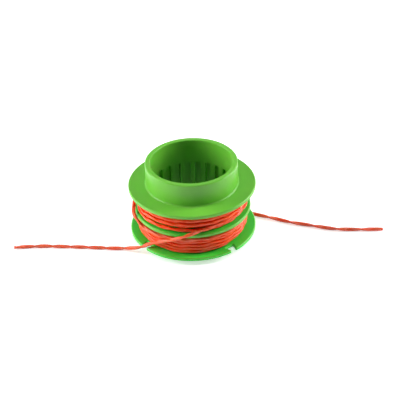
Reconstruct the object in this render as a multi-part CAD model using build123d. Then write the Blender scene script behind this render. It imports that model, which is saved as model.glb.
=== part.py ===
from build123d import *
import math
import os

# Trimmer line spool, in millimetres. Its axis is Z and its foot stands on z = 0.
# Angles are in degrees, counted from +X towards +Y.

# Flanges
upper_flange_radius = 31.2
lower_flange_radius = 31.0
flange_thickness = 1.5
divider_radius = 28.55
divider_thickness = 1.5
rim_bevel = 0.4

# Heights, from the floor up
foot_height = 2.4
lower_channel = 10.3
upper_channel = 10.8
collar_height = 11.65

# Drum and collar
bore_radius = 20.0
collar_wall = 2.55
drum_wall = 1.4
lip_bevel = 0.4
root_bevel = 0.5
lead_in = 0.3

# Grooves that a drive hub engages, between the ribs inside the drum
groove_count = 24
groove_width = 3.0
groove_depth = 1.3
groove_angle = 5.2
groove_drop = 1.1

# Dovetail notches that hold the line in the lower flange's rim
notch_count = 4
notch_angle = 38.3
notch_depth = 3.7
notch_mouth = 2.2
notch_floor = 5.2
notch_tip_round = 0.55
notch_floor_round = 0.5

# Slot in the divider that holds the line's fold
slot_angle = 90.0
slot_width = 2.4
slot_inset = 0.6

# Line
line_diameter = 1.6
line_layers = 3
line_sides = 6
layer_step = 1.6
upper_turns = 5
lower_turns = 5
turn_crown = 0.45
edge_turn_drop = 1.0

# Heights worked out from those
lower_flange_top = foot_height + flange_thickness
divider_bottom = lower_flange_top + lower_channel
divider_top = divider_bottom + divider_thickness
upper_flange_bottom = divider_top + upper_channel
upper_flange_top = upper_flange_bottom + flange_thickness
collar_top = upper_flange_top + collar_height
groove_top = upper_flange_top - groove_drop

# Radii worked out from those
groove_radius = bore_radius + groove_depth
drum_radius = groove_radius + drum_wall
collar_radius = bore_radius + collar_wall
winding_radius = drum_radius + line_layers * layer_step

# Routes of the line where it isn't wound: radius, angle and height beside the spool,
# then x and y along the floor.
left_beside_spool = [
    (25.8, 291, 17.1), (26.8, 280, 17.1), (29.0, 269.5, 17.3), (30.5, 261, 16.0), (30.0, 250, 13.3),
    (29.1, 236.5, 9.8), (29.5, 227.2, 7.2), (30.3, 221.8, 5.5), (31.3, 218.1, 3.9), (33.0, 215.4, 3.1),
    (34.9, 211.0, 2.2), (37.3, 206.3, 1.2),
]
left_on_floor = [
    (-37.2, -15.95), (-43.0, -15.25), (-51.5, -14.15), (-62.5, -12.85), (-76.9, -11.3), (-88.6, -12.0),
]
right_beside_spool = [
    (26.2, 269, 12.0), (27.0, 258, 12.1), (27.8, 244, 12.1), (27.7, 226, 11.75), (27.7, 211.5, 11.3),
    (29.2, 199.5, 12.9), (30.3, 194.6, 16.3), (29.1, 188.5, 19.8), (29.2, 174, 22.2), (29.6, 149, 22.9),
    (29.6, 122, 22.5), (29.3, 98, 20.9), (29.6, 79, 18.3), (30.6, 67, 15.0), (29.5, 53.5, 10.4),
    (28.9, 43.6, 5.5), (29.1, 38.4, 2.7), (29.6, 34.2, 0.9),
]
right_on_floor = [
    (26.6, 12.5), (31.3, 9.75), (37.7, 7.0), (49.1, 1.15), (59.3, -2.1), (68.7, -5.6), (79.1, -7.0),
    (93.7, -7.4),
]


def band(inner, outer, bottom, top):
    """A rectangle of the section: x is the radius and y the height."""
    return Pos((inner + outer) / 2, (bottom + top) / 2) * Rectangle(outer - inner, top - bottom)


def corner(section, radius, height):
    """The corner of a section that lies at a radius and a height."""
    return section.vertices().sort_by_distance((radius, height, 0))[0]


def turned(section):
    """A section turned once round the spool's axis."""
    return revolve(Plane.XZ * section, Axis.Z)


def body():
    """Foot, drum, divider, upper flange and collar."""
    section = band(bore_radius, drum_radius, 0, upper_flange_top)
    section += band(bore_radius, divider_radius, divider_bottom, divider_top)
    section += band(bore_radius, upper_flange_radius, upper_flange_bottom, upper_flange_top)
    section += band(bore_radius, collar_radius, upper_flange_top, collar_top)
    section = chamfer(corner(section, collar_radius, collar_top), lip_bevel)
    section = chamfer(corner(section, collar_radius, upper_flange_top), root_bevel)
    section = chamfer(corner(section, upper_flange_radius, upper_flange_top), rim_bevel)
    section = chamfer(corner(section, divider_radius, divider_top), rim_bevel)
    section = chamfer(corner(section, bore_radius, collar_top), lead_in)
    return turned(section)


def lower_flange():
    """The lower flange. The seam of its circle lies in the first notch."""
    floor = lower_flange_radius - notch_depth
    notch = make_face(Polyline(
        (floor, -notch_floor / 2),
        (lower_flange_radius, -notch_mouth / 2),
        (lower_flange_radius + notch_mouth, -notch_mouth / 2),
        (lower_flange_radius + notch_mouth, notch_mouth / 2),
        (lower_flange_radius, notch_mouth / 2),
        (floor, notch_floor / 2),
        close=True,
    ))
    outline = Circle(lower_flange_radius) - PolarLocations(0, notch_count) * notch
    middle = lower_flange_radius - notch_depth / 2
    outline = fillet([v for v in outline.vertices() if Vector(v).length > middle], notch_tip_round)
    outline = fillet([v for v in outline.vertices() if Vector(v).length < middle], notch_floor_round)
    plate = extrude(outline, flange_thickness)
    plate = chamfer(plate.faces().sort_by(Axis.Z)[-1].edges(), rim_bevel)
    plate -= Cylinder(bore_radius, 3 * flange_thickness)
    return Pos(0, 0, foot_height) * Rot(0, 0, notch_angle) * plate


def grooves():
    """The spaces between the ribs, from the foot up to their common top."""
    bar = Pos(groove_radius / 2, 0) * Rectangle(groove_radius * 2, groove_width)
    rays = Sketch() + [place * bar for place in PolarLocations(0, groove_count)]
    ring = Circle(groove_radius) - Circle(bore_radius - groove_depth)
    return Rot(0, 0, groove_angle) * extrude(rays & ring, groove_top)


def divider_slot():
    """The slot for the line's fold, open at the divider's rim and round at its inner end."""
    inner = drum_radius + slot_inset
    length = divider_radius - inner
    slot = Pos(inner + slot_width / 2, 0) * Circle(slot_width / 2)
    slot += Pos(inner + slot_width / 2 + length / 2, 0) * Rectangle(length, slot_width)
    cut = Pos(0, 0, divider_bottom) * extrude(slot, divider_thickness)
    return Rot(0, 0, slot_angle) * cut


def spool():
    """The whole moulding."""
    return body() + lower_flange() - grooves() - divider_slot()


def winding(bottom, channel, turns):
    """The turns in one channel, seated on the drum. The outer turn at each flange lies a little deeper."""
    pitch = channel / turns
    deep_crown = winding_radius - edge_turn_drop
    crowns = [deep_crown] + [winding_radius] * (turns - 2) + [deep_crown]
    outline = [(drum_radius, bottom), (deep_crown - turn_crown, bottom)]
    for turn, crown in enumerate(crowns):
        beside = crowns[min(turn + 1, turns - 1)]
        outline.append((crown, bottom + (turn + 0.5) * pitch))
        outline.append((min(crown, beside) - turn_crown, bottom + (turn + 1) * pitch))
    outline.append((drum_radius, bottom + channel))
    return turned(make_face(Polyline(*outline, close=True)))


def route(beside_spool, on_floor):
    """The points of a free stretch, which ends lying on the floor."""
    points = []
    for radius, angle, height in beside_spool:
        turn = math.radians(angle)
        points.append(Vector(radius * math.cos(turn), radius * math.sin(turn), height))
    for x, y in on_floor:
        points.append(Vector(x, y, line_diameter / 2))
    return points


def line_tube(name, points):
    """A tube of straight runs and tangent arcs, each arc as large as its runs allow."""
    runs = [end - start for start, end in zip(points, points[1:])]
    radii = []
    for before, after in zip(runs, runs[1:]):
        half_turn = math.radians(before.get_angle(after)) / 2
        radii.append(0.45 * min(before.length, after.length) / math.tan(half_turn))
    path = FilletPolyline(*points, radius=radii)
    section = RegularPolygon(line_diameter / 2, line_sides)
    tube = sweep(Plane(path @ 0, z_dir=path % 0) * section, path)
    expected = section.area * path.length
    print(name, "length", round(path.length, 1), "volume ratio", round(tube.volume / expected, 5))
    print("  radii", [round(radius, 1) for radius in radii])
    return tube


left_line_end = line_tube("left_line_end", route(left_beside_spool, left_on_floor))
right_line_end = line_tube("right_line_end", route(right_beside_spool, right_on_floor))
pieces = {
    "spool": spool(),
    "upper_winding": winding(divider_top, upper_channel, upper_turns) - left_line_end,
    "lower_winding": winding(lower_flange_top, lower_channel, lower_turns) - right_line_end,
    "left_line_end": left_line_end,
    "right_line_end": right_line_end,
}

os.makedirs("parts", exist_ok=True)
for name, piece in pieces.items():
    export_step(piece, f"parts/{name}.step")
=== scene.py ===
import math

import bpy
from mathutils import Matrix, Quaternion, Vector


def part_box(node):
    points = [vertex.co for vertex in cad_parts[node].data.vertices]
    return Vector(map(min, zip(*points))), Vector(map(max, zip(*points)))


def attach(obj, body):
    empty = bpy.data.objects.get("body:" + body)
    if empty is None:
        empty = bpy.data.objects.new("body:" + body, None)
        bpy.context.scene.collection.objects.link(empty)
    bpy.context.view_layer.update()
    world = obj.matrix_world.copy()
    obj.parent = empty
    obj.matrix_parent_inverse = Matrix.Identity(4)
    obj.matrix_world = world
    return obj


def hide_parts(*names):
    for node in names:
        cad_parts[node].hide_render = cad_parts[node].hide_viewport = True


# Trimmer line spool. Lengths are in metres, but those of the line and its routes are in millimetres.
# Angles are in degrees, counted from +X towards +Y.
MM = 0.001

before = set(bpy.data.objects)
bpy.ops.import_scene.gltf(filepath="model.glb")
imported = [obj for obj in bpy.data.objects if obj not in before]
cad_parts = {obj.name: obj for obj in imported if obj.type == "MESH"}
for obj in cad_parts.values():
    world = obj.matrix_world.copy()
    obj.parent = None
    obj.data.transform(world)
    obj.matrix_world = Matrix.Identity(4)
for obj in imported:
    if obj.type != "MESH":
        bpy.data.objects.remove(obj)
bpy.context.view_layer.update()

# Line: its section has two lobes, and is rounder where the line is wound tight
LINE_DIAMETER = 1.6
FREE_HALF_WIDTH = 0.93
FREE_WAIST = 0.52
FREE_LOBE_SWELL = 0.95
WOUND_HALF_WIDTH = 0.91
WOUND_WAIST = 0.67
WOUND_LOBE_SWELL = 0.40
LEFT_FREE_LENGTH = 100.0
RIGHT_FREE_LENGTH = 195.0
TIGHTENING_LENGTH = 25.0

# Twist: the length of half a turn, and how the section is turned at the line's tip
LEFT_HALF_TWIST = 8.9
RIGHT_HALF_TWIST = 11.8
LEFT_TIP_TURN = -61.0
RIGHT_TIP_TURN = 52.0

# Fineness of the strand's mesh
SPLINE_STEPS = 24
RING_POINTS = 16
RING_STEP = 0.7

# Winding: the middle of its layers
INNER_LAYER = 23.6
MIDDLE_LAYER = 25.1
OUTER_LAYER = 26.6
TURNS = 5
TURN_POINTS = 24
COIL_START_ANGLE = 75.0

# Unevenness of the turns, which fades over the coil's first and last degrees. The waves in height have
# a share of it, a number in each turn and a phase in radians, and the wave in radius has the first two.
UNEVENNESS = 0.10
EVEN_END_ANGLE = 90.0
HEIGHT_WAVES = [(1.0, 0.43, 0.0), (0.6, 1.37, 1.0)]
RADIUS_WAVE_SHARE = 0.6
RADIUS_WAVES = 2.57

# Routes of the line where it isn't wound: radius, angle and height beside the spool,
# then x and y on the floor
FOLD_HEIGHT = 14.95
UPPER_FOLD = [(24.4, 90, FOLD_HEIGHT), (24.4, 89.5, 16.2), (24.1, 86, 16.8)]
LOWER_FOLD = [(24.4, 90, FOLD_HEIGHT), (24.4, 89.5, 13.7), (24.1, 86, 13.2)]
LEFT_BESIDE_SPOOL = [
    (26.9, 291, 18.1), (27.2, 281, 17.6), (28.7, 271, 17.3), (30.4, 261.5, 16.0), (30.0, 250, 13.3),
    (29.1, 236.5, 9.8), (29.5, 227.2, 7.2), (30.3, 221.8, 5.5), (31.3, 218.1, 3.9), (33.0, 215.4, 3.1),
    (34.9, 211.0, 2.2), (37.3, 206.3, 1.2),
]
LEFT_ON_FLOOR = [
    (-37.2, -15.95), (-43.0, -15.25), (-51.5, -14.15), (-62.5, -12.85), (-76.9, -11.3), (-88.6, -12.0),
]
RIGHT_BESIDE_SPOOL = [
    (27.3, 269, 12.1), (27.5, 258, 12.1), (27.9, 244, 12.1), (27.9, 226, 11.75), (27.8, 211.5, 11.3),
    (29.2, 199.5, 12.9), (30.2, 194.6, 16.3), (28.8, 188.5, 19.8), (28.9, 174, 22.2), (29.6, 149, 22.9),
    (29.6, 122, 22.5), (29.3, 98, 20.9), (29.6, 79, 18.3), (30.6, 67, 15.0), (29.5, 53.5, 10.4),
    (28.9, 43.6, 5.5), (29.1, 38.4, 2.7), (29.6, 34.2, 0.9),
]
RIGHT_ON_FLOOR = [
    (26.6, 12.5), (31.3, 9.75), (37.7, 7.0), (49.1, 1.15), (59.3, -2.1), (68.7, -5.6), (79.1, -7.0),
    (93.7, -7.4),
]

# Plastics. Each has a pair of shade tints and a pair of lit tints, which paint shade into the green's
# recesses and light onto the red's free ends, and for each noise its scale and detail.
GREEN = {
    "specular": 0.45,
    "scatter_weight": 0.4,
    "scatter_radius": (0.3, 1.0, 0.15),
    "scatter_scale": 1.5 * MM,
    # Painted shade: the first pair is the deeper green painted into the recesses between the flanges
    "shade_tints": [(0.040, 0.63, 0.046), (0.054, 0.68, 0.056)],
    "lit_tints": [(0.142, 0.48, 0.043), (0.166, 0.52, 0.051)],
    "tint_noise": (60, 3),
    "roughness": (0.27, 0.36),
    "roughness_noise": (220, 4),
    "relief_depth": 0.01 * MM,
    "relief_noise": (420, 2),
}
RED = {
    "specular": 0.42,
    "scatter_weight": 0.7,
    "scatter_radius": (1.0, 0.3, 0.1),
    "scatter_scale": 1.0 * MM,
    # Painted light: the second pair is the paler red painted on the line's free ends, where light shines
    # through
    "shade_tints": [(0.93, 0.080, 0.012), (0.99, 0.100, 0.016)],
    "lit_tints": [(0.96, 0.135, 0.055), (1.00, 0.160, 0.070)],
    "tint_noise": (300, 3),
    "roughness": (0.18, 0.30),
    "roughness_noise": (900, 3),
    "relief_depth": 0.01 * MM,
    "relief_noise": (1600, 2),
}
TINT_RANGE = (0.3, 0.7)
EDGE_RADIUS = 0.3 * MM
EDGE_SAMPLES = 6

# Painted shade: the green is painted deeper in a recess outside the drum and below the line's top, where
# little sky is seen
RECESS_DEPTH = 0.030
RECESS_SKY = 0.62
OPEN_SKY = 0.80
SKY_SAMPLES = 16
DRUM_RADIUS = 0.0227
RECESS_FADE = 1.0 * MM

# Camera, fitted to the photograph's ellipses
CAMERA_AIM = Vector((0, 0, 0.0204))
CAMERA_DISTANCE = 0.60124
CAMERA_ELEVATION = 32.921
CAMERA_ROLL = -2.041
CAMERA_LENS = 110.019
CAMERA_SENSOR_WIDTH = 36
CAMERA_SHIFT = (0.01917, -0.01394)
CAMERA_CLIP_START = 0.01

# Floor, a little below the spool's foot, so that the strand's twist doesn't cut it
FLOOR_REACH = 6.0
FLOOR_DROP = 0.15 * MM
FLOOR_COLOR = (0.90, 0.90, 0.90, 1)
FLOOR_ROUGHNESS = 0.9
FLOOR_SPECULAR = 0.0
NEAR_GLOW = 0.50
GLOW_START = 0.0205
GLOW_FULL = 0.0225
GLOW_FAR = 0.8

# Room: its ceiling starts at a height on the unit sphere of directions
WHITE = (1, 1, 1, 1)
WORLD_LEVEL = 0.02
CEILING_START = 0.30
CEILING_FULL = 0.45
CEILING_LEVEL = 0.15

# Lamps, with their power in watts
OVERHEAD_PLACE = (0, -0.02, 1.1)
OVERHEAD_AIM = (0, 0, 0)
OVERHEAD_SIZE = (0.5, 0.4)
OVERHEAD_POWER = 3.5
LAMP_AIM = (0, 0, 0.02)
SIDE_PLACES = {"left": (-0.6, 0.02, 0.24), "right": (0.59, 0.14, 0.24)}
SIDE_SIZE = (0.34, 0.45)
SIDE_GLINT_POWER = 2.4
SIDE_FILL_POWER = 3.9
FRONT_PLACE = (0.45, -0.9, 0.25)
FRONT_SIZE = (0.5, 0.3)
FRONT_POWER = 0.3


def polar(radius, angle, height):
    """A point from its radius, angle and height, in millimetres."""
    turn = math.radians(angle)
    return Vector((radius * math.cos(turn), radius * math.sin(turn), height))


def between(stages, turned):
    """Radius and height after so many degrees of winding, straight between the stages given."""
    for start, end in zip(stages, stages[1:]):
        if turned <= end[0]:
            share = (turned - start[0]) / (end[0] - start[0])
            return start[1] + share * (end[1] - start[1]), start[2] + share * (end[2] - start[2])
    return stages[-1][1:]


def coil(stages):
    """Control points of wound turns, clockwise from above.

    Each stage has the degrees wound, a radius and a height.
    """
    step = 360 / TURN_POINTS
    stretch = 1 / math.cos(math.radians(step / 2))
    last = stages[-1][0]
    points = []
    turned = 0
    while turned <= last:
        radius, height = between(stages, turned)
        ease = min(1, turned / EVEN_END_ANGLE, (last - turned) / EVEN_END_ANGLE)
        wave = math.radians(turned)
        rise = sum(share * math.sin(count * wave + phase) for share, count, phase in HEIGHT_WAVES)
        height += ease * UNEVENNESS * rise
        radius += ease * UNEVENNESS * RADIUS_WAVE_SHARE * math.sin(RADIUS_WAVES * wave)
        points.append(polar(radius * stretch, COIL_START_ANGLE - turned, height))
        turned += step
    return points


def turn_heights(node):
    """Heights of the lowest and the highest turn of a winding, in millimetres."""
    low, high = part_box(node)
    half_turn = (high.z - low.z) / TURNS / 2
    return (low.z + half_turn) / MM, (high.z - half_turn) / MM


def upper_stages():
    """The upper winding: two full layers, then the loose outer turns."""
    low, high = turn_heights("upper_winding")
    return [
        (0, INNER_LAYER, low), (1710, INNER_LAYER, high),
        (1800, MIDDLE_LAYER, high), (3210, MIDDLE_LAYER, 17.9),
        (3330, 25.4, 16.9), (3400, 25.9, 16.8), (3465, 27.0, 16.9), (3500, 26.4, 17.1),
        (3560, 26.2, 18.8), (3670, OUTER_LAYER, 20.8), (3825, 27.3, 20.3), (3855, 26.7, 20.3),
        (3940, 26.3, 22.6), (4030, OUTER_LAYER, 24.7), (4220, OUTER_LAYER, 24.6), (4300, 27.1, 23.6),
        (4390, OUTER_LAYER, 22.8), (4545, 27.3, 22.7), (4575, 26.7, 22.6), (4660, 27.1, 20.8),
        (4755, 26.7, 19.0), (4780, 26.8, 18.9), (4811, 26.8, 18.6),
    ]


def lower_stages():
    """The lower winding: two full layers, then the loose outer turns."""
    low, high = turn_heights("lower_winding")
    return [
        (0, INNER_LAYER, high), (1710, INNER_LAYER, low),
        (1800, MIDDLE_LAYER, low), (3510, MIDDLE_LAYER, high),
        (3660, 26.2, 10.4), (3760, OUTER_LAYER, 10.4), (3860, OUTER_LAYER, 10.3), (3940, 26.3, 8.5),
        (4030, 25.8, 6.8), (4120, OUTER_LAYER, 6.8), (4220, OUTER_LAYER, 6.7), (4310, 25.6, 5.7),
        (4400, 25.0, 5.7), (4434, 25.5, 5.5), (4455, 26.2, 5.1), (4480, 26.7, 4.9), (4530, 26.1, 4.9),
        (4640, 27.1, 6.9), (4750, 26.1, 8.6), (4840, OUTER_LAYER, 8.6), (4930, OUTER_LAYER, 8.5),
        (5020, 27.1, 10.3), (5110, OUTER_LAYER, 11.7), (5191, 27.0, 12.1),
    ]


def line_route(fold, stages, beside_spool, on_floor):
    """Control points of one half of the line, from the fold through the winding to the tip."""
    points = [polar(*place) for place in fold]
    points += coil(stages)
    points += [polar(*place) for place in beside_spool]
    points += [Vector((x, y, LINE_DIAMETER / 2)) for x, y in on_floor]
    return points


def along_spline(name, points):
    """Points at least a ring's step apart on a smooth spline, from the line's tip back to the fold."""
    curve = bpy.data.curves.new(name, "CURVE")
    curve.dimensions = "3D"
    curve.resolution_u = SPLINE_STEPS
    spline = curve.splines.new("NURBS")
    spline.points.add(len(points) - 1)
    for point, place in zip(spline.points, reversed(points)):
        point.co = (*(place * MM), 1)
    spline.order_u = 3
    spline.use_endpoint_u = True
    carrier = bpy.data.objects.new(name, curve)
    mesh = bpy.data.meshes.new_from_object(carrier)
    picked = [mesh.vertices[0].co.copy()]
    for vertex in mesh.vertices:
        if (vertex.co - picked[-1]).length >= RING_STEP * MM:
            picked.append(vertex.co.copy())
    bpy.data.meshes.remove(mesh)
    bpy.data.objects.remove(carrier)
    bpy.data.curves.remove(curve)
    return picked


def directions(centres):
    """The strand's direction at each of its centres."""
    before = centres[:1] + centres[:-1]
    after = centres[1:] + centres[-1:]
    return [(end - start).normalized() for start, end in zip(before, after)]


def strand_section(roundness):
    """Outline of the line's section, from two clear lobes at roundness 0 to a slight waist at 1."""
    half_width = FREE_HALF_WIDTH + roundness * (WOUND_HALF_WIDTH - FREE_HALF_WIDTH)
    waist = FREE_WAIST + roundness * (WOUND_WAIST - FREE_WAIST)
    swell = FREE_LOBE_SWELL + roundness * (WOUND_LOBE_SWELL - FREE_LOBE_SWELL)
    outline = []
    for index in range(RING_POINTS):
        turn = 2 * math.pi * index / RING_POINTS
        thickness = waist * (1 + swell * math.cos(turn) ** 2)
        outline.append((half_width * MM * math.cos(turn), thickness * MM * math.sin(turn)))
    return outline


def tube_faces(ring_count):
    """Faces of a closed tube of rings, with its two ends last."""
    faces = []
    for ring in range(ring_count - 1):
        for corner in range(RING_POINTS):
            here = ring * RING_POINTS + corner
            beside = ring * RING_POINTS + (corner + 1) % RING_POINTS
            faces.append((here, beside, beside + RING_POINTS, here + RING_POINTS))
    last_ring = (ring_count - 1) * RING_POINTS
    faces.append(tuple(reversed(range(RING_POINTS))))
    faces.append(tuple(range(last_ring, last_ring + RING_POINTS)))
    return faces


def strand(name, centres, half_twist, tip_turn, free_length):
    """A twisted strand along the centres as one closed mesh, and its length.

    The mesh keeps how loose the line is at each point, from 0 where it is wound to 1 where it is free.
    """
    tangents = directions(centres)
    side = tangents[0].cross(Vector((0, 0, 1))).normalized()
    verts = []
    looseness = []
    length = 0.0
    for index, (centre, tangent) in enumerate(zip(centres, tangents)):
        if index:
            length += (centre - centres[index - 1]).length
            side = tangents[index - 1].rotation_difference(tangent) @ side
        side = (side - tangent * side.dot(tangent)).normalized()
        roll = math.radians(tip_turn) + math.pi * length / (half_twist * MM)
        wide = Quaternion(tangent, roll) @ side
        thin = tangent.cross(wide)
        roundness = min(max((length / MM - free_length) / TIGHTENING_LENGTH, 0), 1)
        verts += [centre + wide * x + thin * y for x, y in strand_section(roundness)]
        looseness += [1 - roundness] * RING_POINTS
    faces = tube_faces(len(centres))
    mesh = bpy.data.meshes.new(name)
    mesh.from_pydata(verts, [], faces)
    mesh.polygons.foreach_set("use_smooth", [True] * (len(faces) - 2) + [False] * 2)
    mesh.attributes.new("looseness", "FLOAT", "POINT").data.foreach_set("value", looseness)
    mesh.update()
    piece = bpy.data.objects.new(name, mesh)
    bpy.context.scene.collection.objects.link(piece)
    return piece, length


def shader(name):
    """A node material, its node tree and its main shader."""
    material = bpy.data.materials.new(name)
    material.use_nodes = True
    tree = material.node_tree
    return material, tree, tree.nodes["Principled BSDF"]


def noise(tree, scale, detail):
    """Values of a noise in the object's own coordinates."""
    coordinates = tree.nodes.new("ShaderNodeTexCoord")
    texture = tree.nodes.new("ShaderNodeTexNoise")
    texture.inputs["Scale"].default_value = scale
    texture.inputs["Detail"].default_value = detail
    tree.links.new(coordinates.outputs["Object"], texture.inputs["Vector"])
    return texture.outputs["Fac"]


def ramp(tree, value, tints):
    """A colour between two tints, over the range that most of a noise's values lie in."""
    node = tree.nodes.new("ShaderNodeValToRGB")
    for element, position, tint in zip(node.color_ramp.elements, TINT_RANGE, tints):
        element.position = position
        element.color = (*tint, 1)
    tree.links.new(value, node.inputs["Fac"])
    return node.outputs["Color"]


def remap(tree, value, start, end, low=0, high=1):
    """A value carried from one range to another, and held at its ends."""
    node = tree.nodes.new("ShaderNodeMapRange")
    node.inputs["From Min"].default_value = start
    node.inputs["From Max"].default_value = end
    node.inputs["To Min"].default_value = low
    node.inputs["To Max"].default_value = high
    tree.links.new(value, node.inputs["Value"])
    return node.outputs["Result"]


def combined(tree, operation, values):
    """Several values taken together by one operation."""
    result = values[0]
    for value in values[1:]:
        node = tree.nodes.new("ShaderNodeMath")
        node.operation = operation
        tree.links.new(result, node.inputs[0])
        tree.links.new(value, node.inputs[1])
        result = node.outputs["Value"]
    return result


def mixed(tree, kind, share, first, second):
    """A mix of two colours or shaders: the first where the share is 0, the second where it is 1."""
    node = tree.nodes.new(kind)
    for socket, source in zip(node.inputs, (share, first, second)):
        tree.links.new(source, socket)
    return node.outputs[0]


def vector_length(tree, vector):
    """A vector's length."""
    node = tree.nodes.new("ShaderNodeVectorMath")
    node.operation = "LENGTH"
    tree.links.new(vector, node.inputs[0])
    return node.outputs["Value"]


def outside_painted_shade(tree):
    """Painted shade for the green: 0 deep between the flanges, where little sky is seen, and 1 where the
    plastic lies open, lines the bore or is above the line.
    """
    sky = tree.nodes.new("ShaderNodeAmbientOcclusion")
    sky.samples = SKY_SAMPLES
    sky.inputs["Distance"].default_value = RECESS_DEPTH
    coordinates = tree.nodes.new("ShaderNodeTexCoord")
    place = tree.nodes.new("ShaderNodeSeparateXYZ")
    tree.links.new(coordinates.outputs["Object"], place.inputs["Vector"])
    from_axis = tree.nodes.new("ShaderNodeCombineXYZ")
    tree.links.new(place.outputs["X"], from_axis.inputs["X"])
    tree.links.new(place.outputs["Y"], from_axis.inputs["Y"])
    radius = vector_length(tree, from_axis.outputs["Vector"])
    line_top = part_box("upper_winding")[1].z
    return combined(tree, "MAXIMUM", [
        remap(tree, sky.outputs["AO"], RECESS_SKY, OPEN_SKY),
        remap(tree, place.outputs["Z"], line_top - RECESS_FADE, line_top),
        remap(tree, radius, DRUM_RADIUS, DRUM_RADIUS - RECESS_FADE),
    ])


def free_line_painted_light(tree):
    """Painted light on the line: 0 where the line is wound, and 1 where it is free."""
    node = tree.nodes.new("ShaderNodeAttribute")
    node.attribute_name = "looseness"
    return node.outputs["Fac"]


def plastic(name, look, lit_share):
    """A translucent plastic, uneven in colour and gloss, with its node tree and its relief's node.

    The third argument is the function that says where the lit tints show in the place of the shade
    tints, and so where painted light or painted shade lies.
    """
    material, tree, principled = shader(name)
    principled.inputs["Specular IOR Level"].default_value = look["specular"]
    principled.inputs["Subsurface Weight"].default_value = look["scatter_weight"]
    principled.inputs["Subsurface Radius"].default_value = look["scatter_radius"]
    principled.inputs["Subsurface Scale"].default_value = look["scatter_scale"]
    flow = noise(tree, *look["tint_noise"])
    shade_tint = ramp(tree, flow, look["shade_tints"])
    lit_tint = ramp(tree, flow, look["lit_tints"])
    # Painted shade or painted light: the tint moves between the two pairs by where light falls on the
    # part
    tint = mixed(tree, "ShaderNodeMixRGB", lit_share(tree), shade_tint, lit_tint)
    roughness = remap(tree, noise(tree, *look["roughness_noise"]), 0, 1, *look["roughness"])
    relief = tree.nodes.new("ShaderNodeBump")
    relief.inputs["Distance"].default_value = look["relief_depth"]
    tree.links.new(noise(tree, *look["relief_noise"]), relief.inputs["Height"])
    tree.links.new(tint, principled.inputs["Base Color"])
    tree.links.new(roughness, principled.inputs["Roughness"])
    tree.links.new(relief.outputs["Normal"], principled.inputs["Normal"])
    return material, tree, relief


def green_plastic():
    """The spool's moulded plastic, with softened edges, and a deeper colour painted between the flanges
    as shade.
    """
    material, tree, relief = plastic("green_plastic", GREEN, outside_painted_shade)
    edges = tree.nodes.new("ShaderNodeBevel")
    edges.samples = EDGE_SAMPLES
    edges.inputs["Radius"].default_value = EDGE_RADIUS
    tree.links.new(edges.outputs["Normal"], relief.inputs["Normal"])
    return material


def red_nylon():
    """The line's drawn nylon, painted a little paler where it is free, as light that shines through it.
    """
    return plastic("red_nylon", RED, free_line_painted_light)[0]


def make_camera():
    """The photograph's view."""
    data = bpy.data.cameras.new("camera")
    data.sensor_width = CAMERA_SENSOR_WIDTH
    data.lens = CAMERA_LENS
    data.shift_x, data.shift_y = CAMERA_SHIFT
    data.clip_start = CAMERA_CLIP_START
    camera = bpy.data.objects.new("camera", data)
    rise = math.radians(CAMERA_ELEVATION)
    back = Vector((0, -math.cos(rise), math.sin(rise)))
    roll = Quaternion((0, 0, 1), math.radians(CAMERA_ROLL))
    camera.matrix_world = Matrix.LocRotScale(
        CAMERA_AIM + CAMERA_DISTANCE * back, back.to_track_quat("Z", "Y") @ roll, None
    )
    bpy.context.scene.collection.objects.link(camera)
    bpy.context.scene.camera = camera


def seen_directly(tree):
    """1 for rays from the camera and for those that a mirror or a glass sends on, and 0 for the rest."""
    path = tree.nodes.new("ShaderNodeLightPath")
    kinds = ("Is Camera Ray", "Is Glossy Ray", "Is Transmission Ray")
    return combined(tree, "MAXIMUM", [path.outputs[kind] for kind in kinds])


def floor_glow(tree):
    """The floor's glow: none under the spool, whose bore stays dark, and white far from the lamps."""
    place = tree.nodes.new("ShaderNodeNewGeometry")
    distance = vector_length(tree, place.outputs["Position"])
    return combined(tree, "ADD", [
        remap(tree, distance, GLOW_START, GLOW_FULL, 0, NEAR_GLOW),
        remap(tree, distance, GLOW_FULL, GLOW_FAR, 0, 1 - NEAR_GLOW),
    ])


def floor_white():
    """A pale matt surface, with a glow added for the rays that see it directly."""
    material, tree, principled = shader("floor_white")
    principled.inputs["Base Color"].default_value = FLOOR_COLOR
    principled.inputs["Roughness"].default_value = FLOOR_ROUGHNESS
    principled.inputs["Specular IOR Level"].default_value = FLOOR_SPECULAR
    matt = principled.outputs["BSDF"]
    glow = tree.nodes.new("ShaderNodeEmission")
    tree.links.new(floor_glow(tree), glow.inputs["Strength"])
    lifted = tree.nodes.new("ShaderNodeAddShader")
    tree.links.new(matt, lifted.inputs[0])
    tree.links.new(glow.outputs["Emission"], lifted.inputs[1])
    shown = mixed(tree, "ShaderNodeMixShader", seen_directly(tree), matt, lifted.outputs["Shader"])
    tree.links.new(shown, tree.nodes["Material Output"].inputs["Surface"])
    return material


def make_floor():
    """A floor that keeps the object's shadow, and looks white to the camera and in reflections."""
    mesh = bpy.data.meshes.new("floor")
    corners = [(-1, -1), (1, -1), (1, 1), (-1, 1)]
    mesh.from_pydata([(FLOOR_REACH * x, FLOOR_REACH * y, 0) for x, y in corners], [], [(0, 1, 2, 3)])
    mesh.materials.append(floor_white())
    floor = bpy.data.objects.new("floor", mesh)
    bpy.context.scene.collection.objects.link(floor)
    floor.location.z = -FLOOR_DROP


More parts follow.
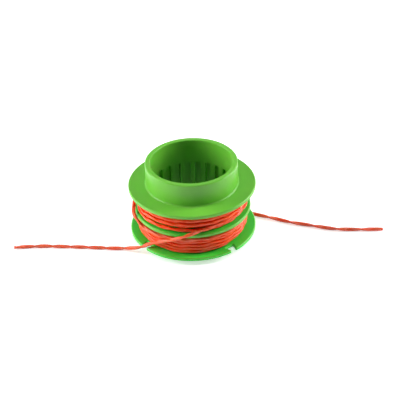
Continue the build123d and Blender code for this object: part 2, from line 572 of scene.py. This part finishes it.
def make_room():
    """A world that gives little light, and looks white below its dim ceiling."""
    world = bpy.data.worlds.new("world")
    bpy.context.scene.world = world
    world.use_nodes = True
    tree = world.node_tree
    dim = tree.nodes["Background"]
    dim.inputs["Color"].default_value = WHITE
    dim.inputs["Strength"].default_value = WORLD_LEVEL
    white = tree.nodes.new("ShaderNodeBackground")
    white.inputs["Color"].default_value = WHITE
    coordinates = tree.nodes.new("ShaderNodeTexCoord")
    direction = tree.nodes.new("ShaderNodeSeparateXYZ")
    tree.links.new(coordinates.outputs["Generated"], direction.inputs["Vector"])
    level = remap(tree, direction.outputs["Z"], CEILING_START, CEILING_FULL, 1, CEILING_LEVEL)
    tree.links.new(level, white.inputs["Strength"])
    backgrounds = (dim.outputs["Background"], white.outputs["Background"])
    shown = mixed(tree, "ShaderNodeMixShader", seen_directly(tree), *backgrounds)
    tree.links.new(shown, tree.nodes["World Output"].inputs["Surface"])


def softbox(name, place, aim, size, power):
    """A rectangular area lamp that faces a point."""
    data = bpy.data.lights.new(name, "AREA")
    data.shape = "RECTANGLE"
    data.size, data.size_y = size
    data.energy = power
    lamp = bpy.data.objects.new(name, data)
    look = (Vector(aim) - Vector(place)).to_track_quat("-Z", "Y")
    lamp.matrix_world = Matrix.LocRotScale(Vector(place), look, None)
    bpy.context.scene.collection.objects.link(lamp)
    return lamp


def make_lamps():
    """Softboxes overhead, at both sides and in front. Each side's fill adds light without a glint."""
    softbox("overhead", OVERHEAD_PLACE, OVERHEAD_AIM, OVERHEAD_SIZE, OVERHEAD_POWER)
    for side, place in SIDE_PLACES.items():
        softbox(side, place, LAMP_AIM, SIDE_SIZE, SIDE_GLINT_POWER)
        fill = softbox(side + "_fill", place, LAMP_AIM, SIDE_SIZE, SIDE_FILL_POWER)
        fill.visible_glossy = False
    softbox("front", FRONT_PLACE, LAMP_AIM, FRONT_SIZE, FRONT_POWER)


def dress_line(name, nodes, route, half_twist, tip_turn, free_length, material):
    """One half of the line as a twisted strand, in the place of its CAD nodes."""
    centres = along_spline(name, route)
    piece, length = strand(name, centres, half_twist, tip_turn, free_length)
    piece.data.materials.append(material)
    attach(piece, "root")
    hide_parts(*nodes)


make_camera()
red = red_nylon()
dress_line(
    "upper_line", ["upper_winding", "left_line_end"],
    line_route(UPPER_FOLD, upper_stages(), LEFT_BESIDE_SPOOL, LEFT_ON_FLOOR),
    LEFT_HALF_TWIST, LEFT_TIP_TURN, LEFT_FREE_LENGTH, red,
)
dress_line(
    "lower_line", ["lower_winding", "right_line_end"],
    line_route(LOWER_FOLD, lower_stages(), RIGHT_BESIDE_SPOOL, RIGHT_ON_FLOOR),
    RIGHT_HALF_TWIST, RIGHT_TIP_TURN, RIGHT_FREE_LENGTH, red,
)
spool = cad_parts["spool"]
spool.data.materials.clear()
spool.data.materials.append(green_plastic())
make_floor()
make_room()
make_lamps()
bpy.context.scene.view_settings.view_transform = "Standard"

bpy.context.view_layer.update()
